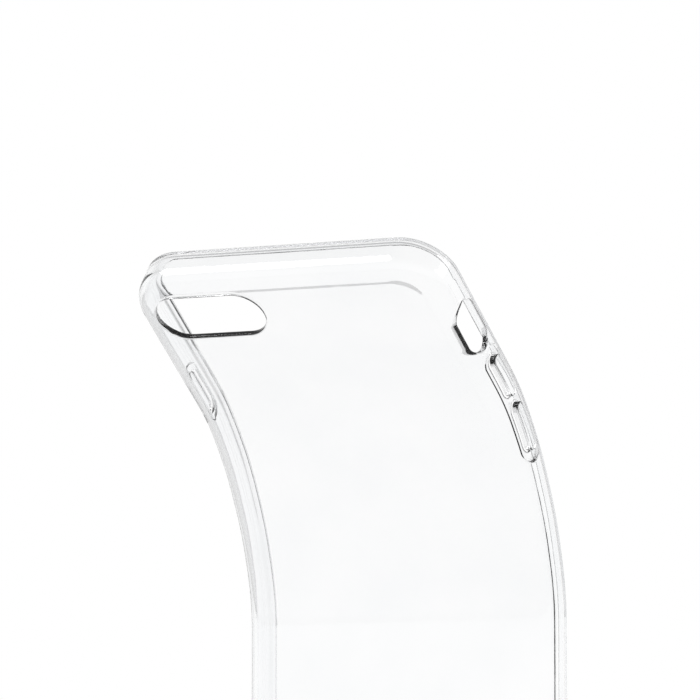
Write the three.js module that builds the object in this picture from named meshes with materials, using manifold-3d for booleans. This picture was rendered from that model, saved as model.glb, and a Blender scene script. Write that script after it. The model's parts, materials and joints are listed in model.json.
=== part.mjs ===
// A soft clear case for a slim phone, bent backwards as it is when it is put on or peeled off.
// Millimetres. Z runs up the back from the charging end, X to the right seen from behind, and
// Y from the back towards the screen. The shell is designed flat, cut across at its bend lines,
// and its lengths are then turned about those lines, each by its share of the bend.
import * as THREE from 'three';
import { mergeVertices } from 'three/addons/utils/BufferGeometryUtils.js';
import Module from 'manifold-3d';

const wasm = await Module();
wasm.setup();

// The phone, and the play between it and the case
const PHONE_WIDTH = 67.3;
const PHONE_HEIGHT = 138.4;
const PHONE_DEPTH = 7.3;
const PLAY = 0.15;

// The shell
const WALL = 1.2;
const BACK = 1.3;
const LIP = 0.8;
const WIDTH = PHONE_WIDTH + 2 * (PLAY + WALL);
const HEIGHT = PHONE_HEIGHT + 2 * (PLAY + WALL);
const DEPTH = BACK + PHONE_DEPTH + PLAY + LIP;
const CORNER_RADIUS = 10;
const BACK_EDGE_RADIUS = 4.5;
const LIP_EDGE_RADIUS = 1.1;
const LIP_INSET = 2.8;
const LIP_ROOT_RADIUS = 1.0;
const CORNER_STEPS = 9;
const EDGE_STEPS = 6;

// Things on the shell: heights down from the phone's top, and depths from the case's back
const PHONE_TOP = HEIGHT - WALL - PLAY;
const SIDE_MIDDLE = BACK + PHONE_DEPTH / 2;

const CAMERA = { x: -18.1, fromTop: 8.75, length: 24.2, width: 10.9 };
const SWITCH = { fromTop: 19.8, depth: 4.6, length: 12.4, width: 6.0 };
const PORT = { length: 12.6, width: 6.0 };
const SPEAKER = { x: 19.5, length: 15.0, width: 3.0 };

const COVER = { depth: 5.5, length: 10.2, width: 3.0, proud: 0.65, relief: 0.4, edge: 0.25 };
const COVER_GAP = 0.3;
const VOLUME_UP = PHONE_TOP - 34.6;
const VOLUME_DOWN = PHONE_TOP - 46.55;
const POWER = PHONE_TOP - 34.25;

// The finger scoops that the covers stand in
const SCOOP_SINK = 0.75;
const RIGHT_SCOOP = { depth: 5.45, low: 85.9, high: 112.5, width: 6.1 };
const LEFT_SCOOP = { depth: 5.45, low: 98.4, high: 112.4, width: 6.1 };

// Bend lines: height up the flat back, and how far each is turned in the stored pose
const SLIT = 0.3;
const BENDS = [
  { height: 60.0, degrees: 16 },
  { height: 73.5, degrees: 10.5 },
  { height: 86.75, degrees: 10 },
  { height: 99.2, degrees: 15 },
];

// The point of the back's inner face that stands for the held phone
const SEAT_HEIGHT = 35;

const CUT_PAST = 3;

function clearPlastic(name, roughness) {
  return new THREE.MeshStandardMaterial({
    name,
    color: 0xf1f3f4,
    roughness,
    metalness: 0,
    transparent: true,
    opacity: 0.35,
  });
}

const shellPlastic = clearPlastic('clear_shell', 0.08);
const coverPlastic = clearPlastic('clear_cover', 0.12);

// Solids

function solid(geometry) {
  const plain = geometry.clone();
  plain.deleteAttribute('normal');
  plain.deleteAttribute('uv');
  const merged = mergeVertices(plain, 1e-4);
  return new wasm.Manifold(new wasm.Mesh({
    numProp: 3,
    vertProperties: new Float32Array(merged.attributes.position.array),
    triVerts: new Uint32Array(merged.index.array),
  }));
}

function geometryOf(manifold) {
  const mesh = manifold.getMesh();
  const geometry = new THREE.BufferGeometry();
  geometry.setAttribute('position', new THREE.BufferAttribute(mesh.vertProperties, 3));
  geometry.setIndex(new THREE.BufferAttribute(mesh.triVerts, 1));
  geometry.computeVertexNormals();
  return geometry;
}

// The case's outline seen from behind, drawn in by inset on every side
function outline(inset) {
  const radius = CORNER_RADIUS - inset;
  const acrossTo = WIDTH / 2 - CORNER_RADIUS;
  const corners = [
    [acrossTo, CORNER_RADIUS, -90],
    [acrossTo, HEIGHT - CORNER_RADIUS, 0],
    [-acrossTo, HEIGHT - CORNER_RADIUS, 90],
    [-acrossTo, CORNER_RADIUS, 180],
  ];
  const points = [];
  for (const [x, z, start] of corners) {
    for (let i = 0; i <= CORNER_STEPS; i += 1) {
      const turn = THREE.MathUtils.degToRad(start + (90 * i) / CORNER_STEPS);
      points.push([x + radius * Math.cos(turn), z + radius * Math.sin(turn)]);
    }
  }
  return points;
}

// A solid with one outline per [inset, depth] step, closed flat at both ends
function outlineStack(steps) {
  const positions = [];
  const faces = [];
  const rings = steps.map(([inset, depth]) => outline(inset).map(([x, z]) => [x, depth, z]));
  const count = rings[0].length;
  rings.forEach((ring) => ring.forEach((point) => positions.push(...point)));
  for (let r = 0; r + 1 < rings.length; r += 1) {
    for (let i = 0; i < count; i += 1) {
      const next = (i + 1) % count;
      const a = r * count + i;
      const b = r * count + next;
      faces.push(a, a + count, b);
      faces.push(b, a + count, b + count);
    }
  }
  const lastRing = (rings.length - 1) * count;
  for (let i = 1; i + 1 < count; i += 1) {
    faces.push(0, i, i + 1);
    faces.push(lastRing, lastRing + i + 1, lastRing + i);
  }
  const geometry = new THREE.BufferGeometry();
  geometry.setAttribute('position', new THREE.Float32BufferAttribute(positions, 3));
  geometry.setIndex(faces);
  return solid(geometry);
}

// A quarter round from one [inset, depth] direction to another about a centre
function quarter(insetCentre, depthCentre, radius, fromDegrees, steps) {
  const points = [];
  for (let i = 0; i <= steps; i += 1) {
    const turn = THREE.MathUtils.degToRad(fromDegrees + (90 * i) / steps);
    points.push([
      insetCentre - radius * Math.sin(turn),
      depthCentre - radius * Math.cos(turn),
    ]);
  }
  return points;
}

function outerBody(sunk) {
  return outlineStack([
    ...quarter(BACK_EDGE_RADIUS, BACK_EDGE_RADIUS, BACK_EDGE_RADIUS - sunk, 0, EDGE_STEPS),
    ...quarter(LIP_EDGE_RADIUS + sunk, DEPTH - LIP_EDGE_RADIUS, LIP_EDGE_RADIUS, 90, 3),
  ]);
}

function phoneHollow() {
  const radius = BACK_EDGE_RADIUS - BACK;
  const underLip = DEPTH - LIP;
  return outlineStack([
    ...quarter(WALL + radius, BACK + radius, radius, 0, EDGE_STEPS),
    ...quarter(WALL + LIP_ROOT_RADIUS, underLip - LIP_ROOT_RADIUS, LIP_ROOT_RADIUS, 90, 3),
    [LIP_INSET, underLip],
    [LIP_INSET, DEPTH + CUT_PAST],
  ]);
}

function stadium(length, width) {
  const radius = width / 2;
  const reach = length / 2 - radius;
  const shape = new THREE.Shape();
  shape.absarc(reach, 0, radius, -Math.PI / 2, Math.PI / 2, false);
  shape.absarc(-reach, 0, radius, Math.PI / 2, (3 * Math.PI) / 2, false);
  shape.closePath();
  return shape;
}

// A slot-shaped bar from z = 0 up to its height, along X
function slotBar(length, width, height, edge = 0) {
  const geometry = new THREE.ExtrudeGeometry(stadium(length - 2 * edge, width - 2 * edge), {
    depth: height - 2 * edge,
    curveSegments: 8,
    bevelEnabled: edge > 0,
    bevelThickness: edge,
    bevelSize: edge,
    bevelSegments: 2,
  });
  geometry.translate(0, 0, edge);
  return geometry;
}

// The same bar turned to run up the side wall and point outwards in +X, starting at x
function sideBar(slot, height, x, thickness, edge = 0) {
  const geometry = slotBar(slot.length, slot.width, thickness, edge);
  geometry.rotateZ(Math.PI / 2);
  geometry.applyMatrix4(new THREE.Matrix4().makeBasis(
    new THREE.Vector3(0, 1, 0),
    new THREE.Vector3(0, 0, 1),
    new THREE.Vector3(1, 0, 0),
  ));
  geometry.translate(x, slot.depth, height);
  return geometry;
}

function mirrored(manifold) {
  return manifold.mirror([1, 0, 0]);
}

// The shell in its flat form

function cameraBar() {
  const geometry = slotBar(CAMERA.length, CAMERA.width, 2 * CUT_PAST);
  geometry.rotateX(-Math.PI / 2);
  geometry.translate(CAMERA.x, -CUT_PAST, PHONE_TOP - CAMERA.fromTop);
  return solid(geometry);
}

function endBar(slot, x) {
  const geometry = slotBar(slot.length, slot.width, 2 * CUT_PAST);
  geometry.translate(x, SIDE_MIDDLE, -CUT_PAST);
  return solid(geometry);
}

function scoop(span) {
  const slot = { depth: span.depth, length: span.high - span.low, width: span.width };
  const bar = solid(sideBar(slot, (span.high + span.low) / 2, WIDTH / 2 - CUT_PAST, 2 * CUT_PAST));
  return bar.subtract(outerBody(SCOOP_SINK));
}

function coverWindow(height) {
  const slot = {
    depth: COVER.depth,
    length: COVER.length + 2 * COVER_GAP,
    width: COVER.width + 2 * COVER_GAP,
  };
  return solid(sideBar(slot, height, WIDTH / 2 - CUT_PAST, 2 * CUT_PAST));
}

function flatShell() {
  const switchSlot = solid(sideBar(
    SWITCH,
    PHONE_TOP - SWITCH.fromTop,
    WIDTH / 2 - 2 * CUT_PAST,
    3 * CUT_PAST,
  ));
  return outerBody(0)
    .subtract(phoneHollow())
    .subtract(cameraBar())
    .subtract(switchSlot)
    .subtract(scoop(RIGHT_SCOOP))
    .subtract(mirrored(scoop(LEFT_SCOOP)))
    .subtract(coverWindow(VOLUME_UP))
    .subtract(coverWindow(VOLUME_DOWN))
    .subtract(mirrored(coverWindow(POWER)))
    .subtract(endBar(PORT, 0))
    .subtract(endBar(SPEAKER, SPEAKER.x))
    .subtract(endBar(SPEAKER, -SPEAKER.x));
}

// The length of shell between two heights, moved so that its own bend line is at z = 0
function lengthOfShell(shell, low, high, bendHeight) {
  const slab = new THREE.BoxGeometry(2 * WIDTH, 4 * DEPTH, high - low);
  slab.translate(0, 0, (low + high) / 2);
  return shell.intersect(solid(slab)).translate([0, 0, -bendHeight]);
}

function buttonCover(height, bendHeight) {
  const inner = WIDTH / 2 - WALL + COVER.relief;
  const outer = WIDTH / 2 + COVER.proud;
  const cover = solid(sideBar(COVER, height, inner, outer - inner, COVER.edge));
  return cover.translate([0, 0, -bendHeight]);
}

// Assembly

function piece(name, manifold, material) {
  const mesh = new THREE.Mesh(geometryOf(manifold), material.clone());
  mesh.name = name;
  return mesh;
}

// One group per length of shell, each turned about its bend line in the one below
function bentShell() {
  const names = [
    'lower_shell',
    'lower_flex_band',
    'middle_flex_band',
    'volume_down_band',
    'camera_end_shell',
  ];
  const shell = flatShell();
  const lines = [{ height: 0, degrees: 0 }, ...BENDS];
  const groups = [];
  lines.forEach((line, i) => {
    const top = i + 1 < lines.length ? lines[i + 1].height - SLIT / 2 : HEIGHT + CUT_PAST;
    const bottom = i > 0 ? line.height + SLIT / 2 : -CUT_PAST;
    const group = new THREE.Group();
    group.name = `${names[i]}_place`;
    if (i > 0) {
      group.position.z = line.height - lines[i - 1].height;
      group.rotation.x = THREE.MathUtils.degToRad(line.degrees);
      groups[i - 1].add(group);
    }
    group.add(piece(names[i], lengthOfShell(shell, bottom, top, line.height), shellPlastic));
    groups.push(group);
  });
  return groups;
}

function phoneCase() {
  const groups = bentShell();
  const [, , , volumeDownBand, cameraEnd] = groups;
  const volumeDownLine = BENDS[2].height;
  const cameraEndLine = BENDS[3].height;
  volumeDownBand.add(
    piece('volume_down_cover', buttonCover(VOLUME_DOWN, volumeDownLine), coverPlastic),
  );
  cameraEnd.add(
    piece('volume_up_cover', buttonCover(VOLUME_UP, cameraEndLine), coverPlastic),
    piece('power_button_cover', mirrored(buttonCover(POWER, cameraEndLine)), coverPlastic),
  );
  const whole = new THREE.Group();
  whole.name = 'phone_case';
  groups[0].position.set(0, -BACK, -SEAT_HEIGHT);
  whole.add(groups[0]);
  return whole;
}

export default phoneCase();
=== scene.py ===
"""A soft clear phone case, bent backwards, over the CAD frame.

The case is drawn flat as a distance field (x across, t from the back towards the screen,
s up the back from the charging end, in millimetres), meshed, and then laid along the bend.
"""

import json
import math

import bpy
import numpy as np
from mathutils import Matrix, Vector


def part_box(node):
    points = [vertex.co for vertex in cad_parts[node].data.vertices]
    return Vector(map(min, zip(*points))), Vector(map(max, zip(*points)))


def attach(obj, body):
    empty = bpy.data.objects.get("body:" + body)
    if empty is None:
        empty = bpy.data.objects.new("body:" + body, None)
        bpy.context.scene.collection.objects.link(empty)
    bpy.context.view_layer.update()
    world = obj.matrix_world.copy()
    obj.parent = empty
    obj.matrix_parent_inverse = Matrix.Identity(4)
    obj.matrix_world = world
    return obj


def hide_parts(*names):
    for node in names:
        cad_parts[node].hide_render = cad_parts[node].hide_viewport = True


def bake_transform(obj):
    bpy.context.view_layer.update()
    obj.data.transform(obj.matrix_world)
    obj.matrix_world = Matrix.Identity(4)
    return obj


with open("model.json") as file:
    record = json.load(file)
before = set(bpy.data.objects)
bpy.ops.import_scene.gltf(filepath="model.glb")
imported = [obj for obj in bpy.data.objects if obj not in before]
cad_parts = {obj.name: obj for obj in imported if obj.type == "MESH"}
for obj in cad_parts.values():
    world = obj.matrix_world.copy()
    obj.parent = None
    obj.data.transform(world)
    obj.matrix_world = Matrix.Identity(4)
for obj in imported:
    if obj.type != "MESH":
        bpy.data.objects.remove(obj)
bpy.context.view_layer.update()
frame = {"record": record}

MM = 0.001

# Sizes of the case, in millimetres
PHONE_WIDTH, PHONE_HEIGHT, PHONE_DEPTH = 67.3, 138.4, 7.3
PLAY, WALL, BACK, LIP = 0.15, 1.2, 1.3, 0.8
WIDTH = PHONE_WIDTH + 2 * (PLAY + WALL)
HEIGHT = PHONE_HEIGHT + 2 * (PLAY + WALL)
DEPTH = BACK + PHONE_DEPTH + PLAY + LIP
CORNER_RADIUS = 10.0
BACK_EDGE_RADIUS = 4.5
LIP_EDGE_RADIUS = 1.1
LIP_INSET = 2.8
LIP_ROOT_RADIUS = 1.0
PHONE_TOP = HEIGHT - WALL - PLAY
SIDE_MIDDLE = BACK + PHONE_DEPTH / 2

CAMERA_SLOT = dict(x=-18.1, s=PHONE_TOP - 8.75, length=24.2, width=10.9)
SWITCH_SLOT = dict(s=PHONE_TOP - 19.8, t=4.6, length=12.4, width=6.0)
PORT_SLOT = dict(x=0.0, length=12.6, width=6.0)
SPEAKER_SLOTS = [dict(x=x, length=15.0, width=3.0) for x in (-19.5, 19.5)]
RIGHT_SCOOP = dict(low=85.9, high=112.5, t=5.45, width=6.1)
LEFT_SCOOP = dict(low=98.4, high=112.4, t=5.45, width=6.1)
SCOOP_SINK = 0.75
SCOOP_DRAFT = math.tan(math.radians(12))
COVER = dict(t=5.5, length=10.2, width=3.0, proud=0.65, relief=0.4)
COVER_GAP = 0.3
COVER_CROWN = 0.16
SIDE_CUTS_FROM = 25.0  # a cut in a side wall starts this far from the middle
VOLUME_UP = PHONE_TOP - 34.6
VOLUME_DOWN = PHONE_TOP - 46.55
POWER = PHONE_TOP - 34.25

# ---------------------------------------------------------------- the bend


def bend_lines():
    """[(height up the back, angle)] in mm and radians, and where the flat case's foot is."""
    chain = [j for j in frame["record"]["behaviour"]["joints"] if j["type"] == "hinge"]
    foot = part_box("lower_shell")[0].z
    lines, height, last = [], None, None
    for j in chain:
        at = Vector(j["pos_m"])
        height = at.z - foot if last is None else height + (at - last).length
        last = at
        lines.append((height / MM, math.radians(-j["range_deg"][0])))
    return lines, foot


LINES, FOOT = bend_lines()
BEND_WIDTHS = (15.0, 14.0, 13.5, 14.0)


def smoothstep(u):
    u = np.clip(u, 0.0, 1.0)
    return u * u * (3 - 2 * u)


SPINE_S = np.linspace(-2.0, HEIGHT + 2.0, 2901)
SPINE_PHI = sum(
    angle * smoothstep((SPINE_S - height) / width + 0.5)
    for (height, angle), width in zip(LINES, BEND_WIDTHS)
)


def along(values):
    """The running integral of values up the back, 0 at the foot."""
    step = SPINE_S[1] - SPINE_S[0]
    total = np.concatenate([[0], np.cumsum((values[1:] + values[:-1]) / 2 * step)])
    return total - np.interp(0.0, SPINE_S, total)


SPINE_Y = -along(np.sin(SPINE_PHI))
SPINE_Z = along(np.cos(SPINE_PHI))


def lay(points, vectors=None):
    """Flat (x, t, s) points in mm to the bent case in metres; vectors are turned with them."""
    x, t, s = points.T
    phi = np.interp(s, SPINE_S, SPINE_PHI)
    y = np.interp(s, SPINE_S, SPINE_Y) + t * np.cos(phi) - BACK
    z = np.interp(s, SPINE_S, SPINE_Z) + t * np.sin(phi)
    placed = np.stack([x * MM, y * MM, z * MM + FOOT], -1)
    if vectors is None:
        return placed
    vx, vt, vs = vectors.T
    turned = np.stack(
        [vx, vt * np.cos(phi) - vs * np.sin(phi), vt * np.sin(phi) + vs * np.cos(phi)], -1
    )
    return placed, turned


# ---------------------------------------------------------------- distance fields


def round_max(a, b, r):
    return np.minimum(np.maximum(a, b), -r) + np.hypot(
        np.maximum(a + r, 0), np.maximum(b + r, 0)
    )


def round_min(a, b, r):
    return -round_max(-a, -b, r)


def stadium(u, v, length, width):
    r = width / 2
    return np.hypot(np.maximum(np.abs(u) - (length / 2 - r), 0), v) - r


def plan(x, s):
    qx = np.abs(x) - (WIDTH / 2 - CORNER_RADIUS)
    qs = np.abs(s - HEIGHT / 2) - (HEIGHT / 2 - CORNER_RADIUS)
    outside = np.hypot(np.maximum(qx, 0), np.maximum(qs, 0))
    return outside + np.minimum(np.maximum(qx, qs), 0) - CORNER_RADIUS


def scoop(outer, side, s, t, span):
    middle, length = (span["low"] + span["high"]) / 2, span["high"] - span["low"]
    mouth = stadium(s - middle, t - span["t"], length, span["width"])
    mouth = mouth - SCOOP_DRAFT * (np.clip(outer, -SCOOP_SINK, 0) + SCOOP_SINK / 2)
    dug = round_max(mouth, -(outer + SCOOP_SINK), 0.12)
    return np.maximum(dug, SIDE_CUTS_FROM - side)


def side_hole(side, s, t, at, length, width):
    return np.maximum(stadium(s - at[1], t - at[0], length, width), SIDE_CUTS_FROM - side)


def shell_field(x, t, s):
    d = plan(x, s)
    outer = np.maximum(
        round_max(d, -t, BACK_EDGE_RADIUS), round_max(d, t - DEPTH, LIP_EDGE_RADIUS)
    )
    cavity = np.maximum(
        round_max(d + WALL, BACK - t, BACK_EDGE_RADIUS - BACK),
        round_max(d + WALL, t - (DEPTH - LIP), LIP_ROOT_RADIUS),
    )
    mouth = np.maximum(d + LIP_INSET, BACK + 2.0 - t)
    hollow = round_min(cavity, mouth, 0.2)
    body = round_max(outer, -hollow, 0.2)
    camera = CAMERA_SLOT
    slot = stadium(x - camera["x"], s - camera["s"], camera["length"], camera["width"])
    body = round_max(body, -np.maximum(slot, t - 3.0), 0.4)
    body = round_max(body, -scoop(outer, x, s, t, RIGHT_SCOOP), 0.12)
    body = round_max(body, -scoop(outer, -x, s, t, LEFT_SCOOP), 0.12)
    switch = SWITCH_SLOT
    opening = side_hole(x, s, t, (switch["t"], switch["s"]), switch["length"], switch["width"])
    body = round_max(body, -opening, 0.35)
    length, width = COVER["length"] + 2 * COVER_GAP, COVER["width"] + 2 * COVER_GAP
    for side, middle in ((x, VOLUME_UP), (x, VOLUME_DOWN), (-x, POWER)):
        body = round_max(body, -side_hole(side, s, t, (COVER["t"], middle), length, width), 0.16)
    for hole in [PORT_SLOT, *SPEAKER_SLOTS]:
        opening = stadium(x - hole["x"], t - SIDE_MIDDLE, hole["length"], hole["width"])
        body = round_max(body, -np.maximum(opening, s - 5.0), 0.35)
    return body


def cover_field(middle, side):
    inner = WIDTH / 2 - WALL + COVER["relief"]
    outer = WIDTH / 2 + COVER["proud"]

    def field(x, t, s):
        pill = stadium(s - middle, t - COVER["t"], COVER["length"], COVER["width"])
        # the pad is a little crowned along its length, as a thumb feels it
        crown = outer - COVER_CROWN * ((s - middle) / (COVER["length"] / 2)) ** 2
        return np.maximum(
            round_max(pill, side * x - crown, 0.32), round_max(pill, inner - side * x, 0.15)
        )

    return field


# ---------------------------------------------------------------- meshing


def ruler(*spans):
    """Grid lines from (start, end, step) spans that join up."""
    marks = [np.array([spans[0][0]])]
    for start, end, step in spans:
        count = max(1, int(round((end - start) / step)))
        marks.append(np.linspace(start, end, count + 1)[1:])
    return np.concatenate(marks)


def gradient(field, p, h=0.004):
    g = np.empty_like(p)
    for k in range(3):
        step = np.zeros(3)
        step[k] = h
        g[:, k] = (field(*(p + step).T) - field(*(p - step).T)) / (2 * h)
    return g


def net(field, xs, ts, ss):
    """Surface net of field < 0 on a grid: points on the surface, quads facing out, normals."""
    f = field(xs[:, None, None], ts[None, :, None], ss[None, None, :])
    inside = f < 0
    shape = tuple(n - 1 for n in f.shape)

    def corner(a, i, j, k):
        return a[i : i + shape[0], j : j + shape[1], k : k + shape[2]]

    offsets = [(i, j, k) for i in (0, 1) for j in (0, 1) for k in (0, 1)]
    count = sum(corner(inside, *o).astype(np.int8) for o in offsets)
    active = (count > 0) & (count < 8)
    cells = np.argwhere(active)
    number = np.full(shape, -1, np.int64)
    number[active] = np.arange(len(cells))
    total, hits = np.zeros((len(cells), 3)), np.zeros(len(cells))
    marks = (xs, ts, ss)
    for axis in range(3):
        for o in offsets:
            if o[axis]:
                continue
            far = list(o)
            far[axis] = 1
            a = cells + np.array(o)
            b = cells + np.array(far)
            fa, fb = f[tuple(a.T)], f[tuple(b.T)]
            cut = (fa < 0) != (fb < 0)
            u = np.where(cut, fa / np.where(cut, fa - fb, 1), 0)
            pa = np.stack([m[a[:, i]] for i, m in enumerate(marks)], -1)
            pb = np.stack([m[b[:, i]] for i, m in enumerate(marks)], -1)
            total += np.where(cut[:, None], pa + (pb - pa) * u[:, None], 0)
            hits += cut
    points = total / hits[:, None]
    quads = []
    for axis in range(3):
        one, two = [i for i in range(3) if i != axis]
        low, high = [slice(1, -1)] * 3, [slice(1, -1)] * 3
        low[axis], high[axis] = slice(0, -1), slice(1, None)
        a, b = inside[tuple(low)], inside[tuple(high)]
        edge = np.argwhere(a != b)
        outward = a[tuple(edge.T)]
        base = edge.copy()
        base[:, one] += 1
        base[:, two] += 1
        around = []
        for d1, d2 in ((-1, -1), (0, -1), (0, 0), (-1, 0)):
            c = base.copy()
            c[:, one] += d1
            c[:, two] += d2
            around.append(number[tuple(c.T)])
        q = np.stack(around, -1)
        turn = outward if axis != 1 else ~outward
        q[~turn] = q[~turn][:, ::-1]
        quads.append(q)
    quads = np.concatenate(quads)
    for _ in range(4):
        value = field(*points.T)
        g = gradient(field, points)
        size = np.maximum((g * g).sum(1), 0.25)
        move = -(value / size)[:, None] * g
        reach = np.linalg.norm(move, axis=1, keepdims=True)
        points = points + move * np.minimum(1, 0.12 / np.maximum(reach, 1e-9))
    normals = gradient(field, points)
    normals /= np.maximum(np.linalg.norm(normals, axis=1, keepdims=True), 1e-9)
    return points, quads, normals


def make_mesh(name, points, quads, normals, material):
    """A smooth mesh of the laid-out points, with the field's own normals."""
    placed, turned = lay(points, normals)
    mesh = bpy.data.meshes.new(name)
    mesh.vertices.add(len(placed))
    mesh.vertices.foreach_set("co", placed.astype(np.float32).ravel())
    mesh.loops.add(4 * len(quads))
    mesh.loops.foreach_set("vertex_index", quads.astype(np.int32).ravel())
    mesh.polygons.add(len(quads))
    mesh.polygons.foreach_set("loop_start", np.arange(0, 4 * len(quads), 4, dtype=np.int32))
    mesh.update(calc_edges=True)
    mesh.validate()
    mesh.polygons.foreach_set("use_smooth", np.ones(len(mesh.polygons), bool))
    mesh.normals_split_custom_set_from_vertices(turned.tolist())
    mesh.materials.append(material)
    piece = bpy.data.objects.new(name, mesh)
    bpy.context.scene.collection.objects.link(piece)
    return piece


def part_of(points, quads, normals, chosen):
    """The chosen quads with only the points that they use."""
    q = quads[chosen]
    used, q = np.unique(q, return_inverse=True)
    return points[used], q.reshape(-1, 4), normals[used]


# ---------------------------------------------------------------- materials


class Nodes:
    """Short calls for building a node tree."""

    def __init__(self, tree):
        self.tree = tree
        tree.nodes.clear()

    def add(self, kind, inputs=(), **settings):
        node = self.tree.nodes.new(kind)
        for key, value in settings.items():
            setattr(node, key, value)
        for key, value in dict(inputs).items():
            if isinstance(value, bpy.types.NodeSocket):
                self.tree.links.new(value, node.inputs[key])
            else:
                node.inputs[key].default_value = value
        return node

    def ramp(self, value, stops):
        node = self.add("ShaderNodeValToRGB", {"Fac": value})
        ramp = node.color_ramp
        ramp.interpolation = "LINEAR"
        while len(ramp.elements) > 1:
            ramp.elements.remove(ramp.elements[-1])
        for i, (at, grey) in enumerate(stops):
            colour = (grey, grey, grey, 1) if isinstance(grey, float) else (*grey, 1)
            element = ramp.elements[0] if i == 0 else ramp.elements.new(at)
            element.position = at
            element.color = colour
        return node.outputs["Color"]

    def math(self, operation, a, b=None, clamp=False):
        node = self.add("ShaderNodeMath", {0: a}, operation=operation, use_clamp=clamp)
        if b is not None:
            if isinstance(b, bpy.types.NodeSocket):
                self.tree.links.new(b, node.inputs[1])
            else:
                node.inputs[1].default_value = b
        return node.outputs[0]


def clear_plastic(name, haze, tint):
    """Clear soft plastic: mould ripple, fine scratches, smudges and a faint uneven tint."""
    material = bpy.data.materials.new(name)
    material.use_nodes = True
    n = Nodes(material.node_tree)
    place = n.add("ShaderNodeTexCoord").outputs["Object"]
    cloud = n.add(
        "ShaderNodeTexNoise", {"Vector": place, "Scale": 55.0, "Detail": 3.0, "Roughness": 0.5}
    ).outputs["Fac"]
    smudge = n.add(
        "ShaderNodeTexNoise",
        {"Vector": place, "Scale": 120.0, "Detail": 5.0, "Roughness": 0.62, "Distortion": 1.4},
    ).outputs["Fac"]
    stretch = n.add(
        "ShaderNodeMapping", {"Vector": place, "Rotation": (0.3, 0.5, 0.6), "Scale": (1.0, 9.0, 60.0)}
    ).outputs["Vector"]
    scratch = n.add(
        "ShaderNodeTexNoise", {"Vector": stretch, "Scale": 90.0, "Detail": 2.0, "Roughness": 0.4}
    ).outputs["Fac"]
    colour = n.ramp(cloud, [(0.3, tint[0]), (0.7, tint[1])])
    smudged = n.math("MULTIPLY", n.math("SUBTRACT", smudge, 0.52, clamp=True), 0.35)
    lined = n.math("MULTIPLY", n.math("SUBTRACT", scratch, 0.66, clamp=True), 0.5)
    roughness = n.math("ADD", n.math("ADD", smudged, lined), haze, clamp=True)
    ripple = n.add(
        "ShaderNodeTexNoise", {"Vector": place, "Scale": 260.0, "Detail": 1.0, "Roughness": 0.4}
    ).outputs["Fac"]
    height = n.math("ADD", n.math("MULTIPLY", scratch, 0.25), ripple)
    bump = n.add("ShaderNodeBump", {"Height": height, "Strength": 0.05, "Distance": 0.0002})
    shader = n.add(
        "ShaderNodeBsdfPrincipled",
        {
            "Base Color": colour,
            "Roughness": roughness,
            "IOR": 1.49,
            "Transmission Weight": 1.0,
            "Normal": bump.outputs["Normal"],
        },
    )
    # light passes through on its way to the floor, a little dimmed
    passing = n.add("ShaderNodeBsdfTransparent", {"Color": (0.86, 0.87, 0.88, 1)})
    path = n.add("ShaderNodeLightPath")
    mix = n.add(
        "ShaderNodeMixShader",
        {0: path.outputs["Is Shadow Ray"], 1: shader.outputs[0], 2: passing.outputs[0]},
    )
    n.add("ShaderNodeOutputMaterial", {"Surface": mix.outputs[0]})
    return material


# ---------------------------------------------------------------- the case

SHELL_TINT = ((0.955, 0.962, 0.968), (0.985, 0.987, 0.99))
COVER_TINT = ((0.95, 0.957, 0.963), (0.98, 0.983, 0.986))
shell_look = clear_plastic("clear_shell_plastic", 0.025, SHELL_TINT)
cover_look = clear_plastic("clear_cover_plastic", 0.05, COVER_TINT)

XS = ruler(
    (-35.4, -33.2, 0.11), (-33.2, -30.4, 0.3), (-30.4, -24.0, 0.4), (-24.0, -12.0, 1.5),
    (-12.0, -5.6, 0.4), (-5.6, 24.0, 3.0), (24.0, 30.4, 0.7), (30.4, 33.2, 0.3), (33.2, 35.4, 0.11),
)
TS = ruler((-0.36, 1.5, 0.2), (1.5, 7.7, 0.21), (7.7, 9.8, 0.1))
SS = ruler(
    (-0.4, 11.0, 0.32), (11.0, 51.0, 1.6), (51.0, 84.2, 0.7), (84.2, 115.4, 0.26),
    (115.4, 123.4, 0.5), (123.4, 137.0, 0.3), (137.0, 141.5, 0.22),
)

points, quads, normals = net(shell_field, XS, TS, SS)
middle_s = points[quads][:, :, 2].mean(1)
SEAMS = [-10.0, 67.0, 80.2, 93.2, HEIGHT + 10.0]
PIECES = [
    ("shell_charging_end", "lower_shell"),
    ("shell_lower_bend", "lower_flex_band"),
    ("shell_middle_bend", "middle_flex_band"),
    ("shell_camera_end", "camera_end_shell"),
]
for i, (name, node) in enumerate(PIECES):
    chosen = (middle_s > SEAMS[i]) & (middle_s <= SEAMS[i + 1])
    piece = make_mesh(name, *part_of(points, quads, normals, chosen), shell_look)
    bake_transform(piece)
    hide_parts(node)
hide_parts("volume_down_band")

COVERS = [
    ("volume_up_pad", "volume_up_cover", VOLUME_UP, 1),
    ("volume_down_pad", "volume_down_cover", VOLUME_DOWN, 1),
    ("power_button_pad", "power_button_cover", POWER, -1),
]
for name, node, middle, side in COVERS:
    across = sorted((side * 33.7, side * 36.0))
    pad = net(
        cover_field(middle, side),
        ruler((across[0], across[1], 0.11)),
        ruler((COVER["t"] - 2.0, COVER["t"] + 2.0, 0.11)),
        ruler((middle - 6.0, middle + 6.0, 0.15)),
    )
    piece = make_mesh(name, *pad, cover_look)
    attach(piece, node)
    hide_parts(node)

# ---------------------------------------------------------------- studio

# The studio light, by the height of its direction (0 level, 1 straight up)
WHITE_UP_TO, DIM_FROM, OVERHEAD = 0.35, 0.8, 0.55


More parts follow.
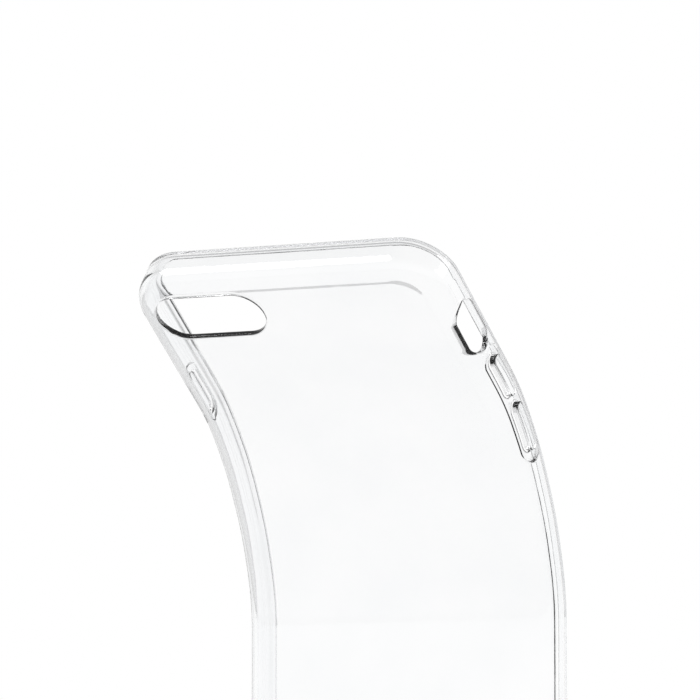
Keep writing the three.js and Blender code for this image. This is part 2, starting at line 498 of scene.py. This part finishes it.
def floor_material():
    material = bpy.data.materials.new("studio_floor")
    material.use_nodes = True
    n = Nodes(material.node_tree)
    place = n.add("ShaderNodeTexCoord").outputs["Object"]
    mottle = n.add(
        "ShaderNodeTexNoise", {"Vector": place, "Scale": 14.0, "Detail": 4.0}
    ).outputs["Fac"]
    pale = n.ramp(mottle, [(0.3, (0.88, 0.88, 0.885)), (0.7, (0.91, 0.91, 0.91))])
    shader = n.add("ShaderNodeBsdfPrincipled", {"Base Color": pale, "Roughness": 0.7})
    n.add("ShaderNodeOutputMaterial", {"Surface": shader.outputs[0]})
    return material


def make_floor():
    mesh = bpy.data.meshes.new("floor")
    size = 4.0
    corners = [(-size, -size, 0), (size, -size, 0), (size, size, 0), (-size, size, 0)]
    mesh.from_pydata(corners, [], [(0, 1, 2, 3)])
    mesh.materials.append(floor_material())
    floor = bpy.data.objects.new("floor", mesh)
    floor.location = (0, 0, FOOT - 0.0002)
    bpy.context.scene.collection.objects.link(floor)


def make_world():
    """Soft light that is the same all round and for every ray: white low down, dimmer overhead."""
    world = bpy.data.worlds.new("studio")
    bpy.context.scene.world = world
    world.use_nodes = True
    n = Nodes(world.node_tree)
    direction = n.add("ShaderNodeTexCoord").outputs["Generated"]
    height = n.add("ShaderNodeSeparateXYZ", {0: direction}).outputs["Z"]
    seen = n.ramp(height, [(0.0, 1.0), (WHITE_UP_TO, 1.0), (DIM_FROM, OVERHEAD), (1.0, OVERHEAD)])
    background = n.add("ShaderNodeBackground", {"Color": seen, "Strength": 1.0})
    n.add("ShaderNodeOutputWorld", {"Surface": background.outputs[0]})


def area_light(name, at, aim, size, watts):
    data = bpy.data.lights.new(name, "AREA")
    data.shape = "DISK"
    data.size = size
    data.energy = watts
    light = bpy.data.objects.new(name, data)
    light.location = at
    light.rotation_mode = "QUATERNION"
    light.rotation_quaternion = (Vector(aim) - Vector(at)).to_track_quat("-Z", "Y")
    bpy.context.scene.collection.objects.link(light)


def make_camera():
    data = bpy.data.cameras.new("camera")
    data.lens = 287.2
    data.sensor_width = 36.0
    data.clip_end = 20.0
    camera = bpy.data.objects.new("camera", data)
    target = Vector((-0.00637, -0.00773, FOOT + 0.11073))
    azimuth, elevation, distance = math.radians(29.4), math.radians(-5.5), 1.1315
    back = Vector(
        (
            math.sin(azimuth) * math.cos(elevation),
            -math.cos(azimuth) * math.cos(elevation),
            math.sin(elevation),
        )
    )
    camera.location = target + back * distance
    camera.rotation_mode = "QUATERNION"
    camera.rotation_quaternion = (-back).to_track_quat("-Z", "Y")
    bpy.context.scene.collection.objects.link(camera)
    bpy.context.scene.camera = camera


make_floor()
make_world()
area_light("key", (-0.6, -0.5, 0.9), (0, 0, 0.02), 0.5, 2.5)
area_light("fill", (0.9, 0.7, 0.8), (0, 0, 0.02), 0.6, 1.5)
make_camera()
bpy.context.scene.view_settings.view_transform = "Standard"
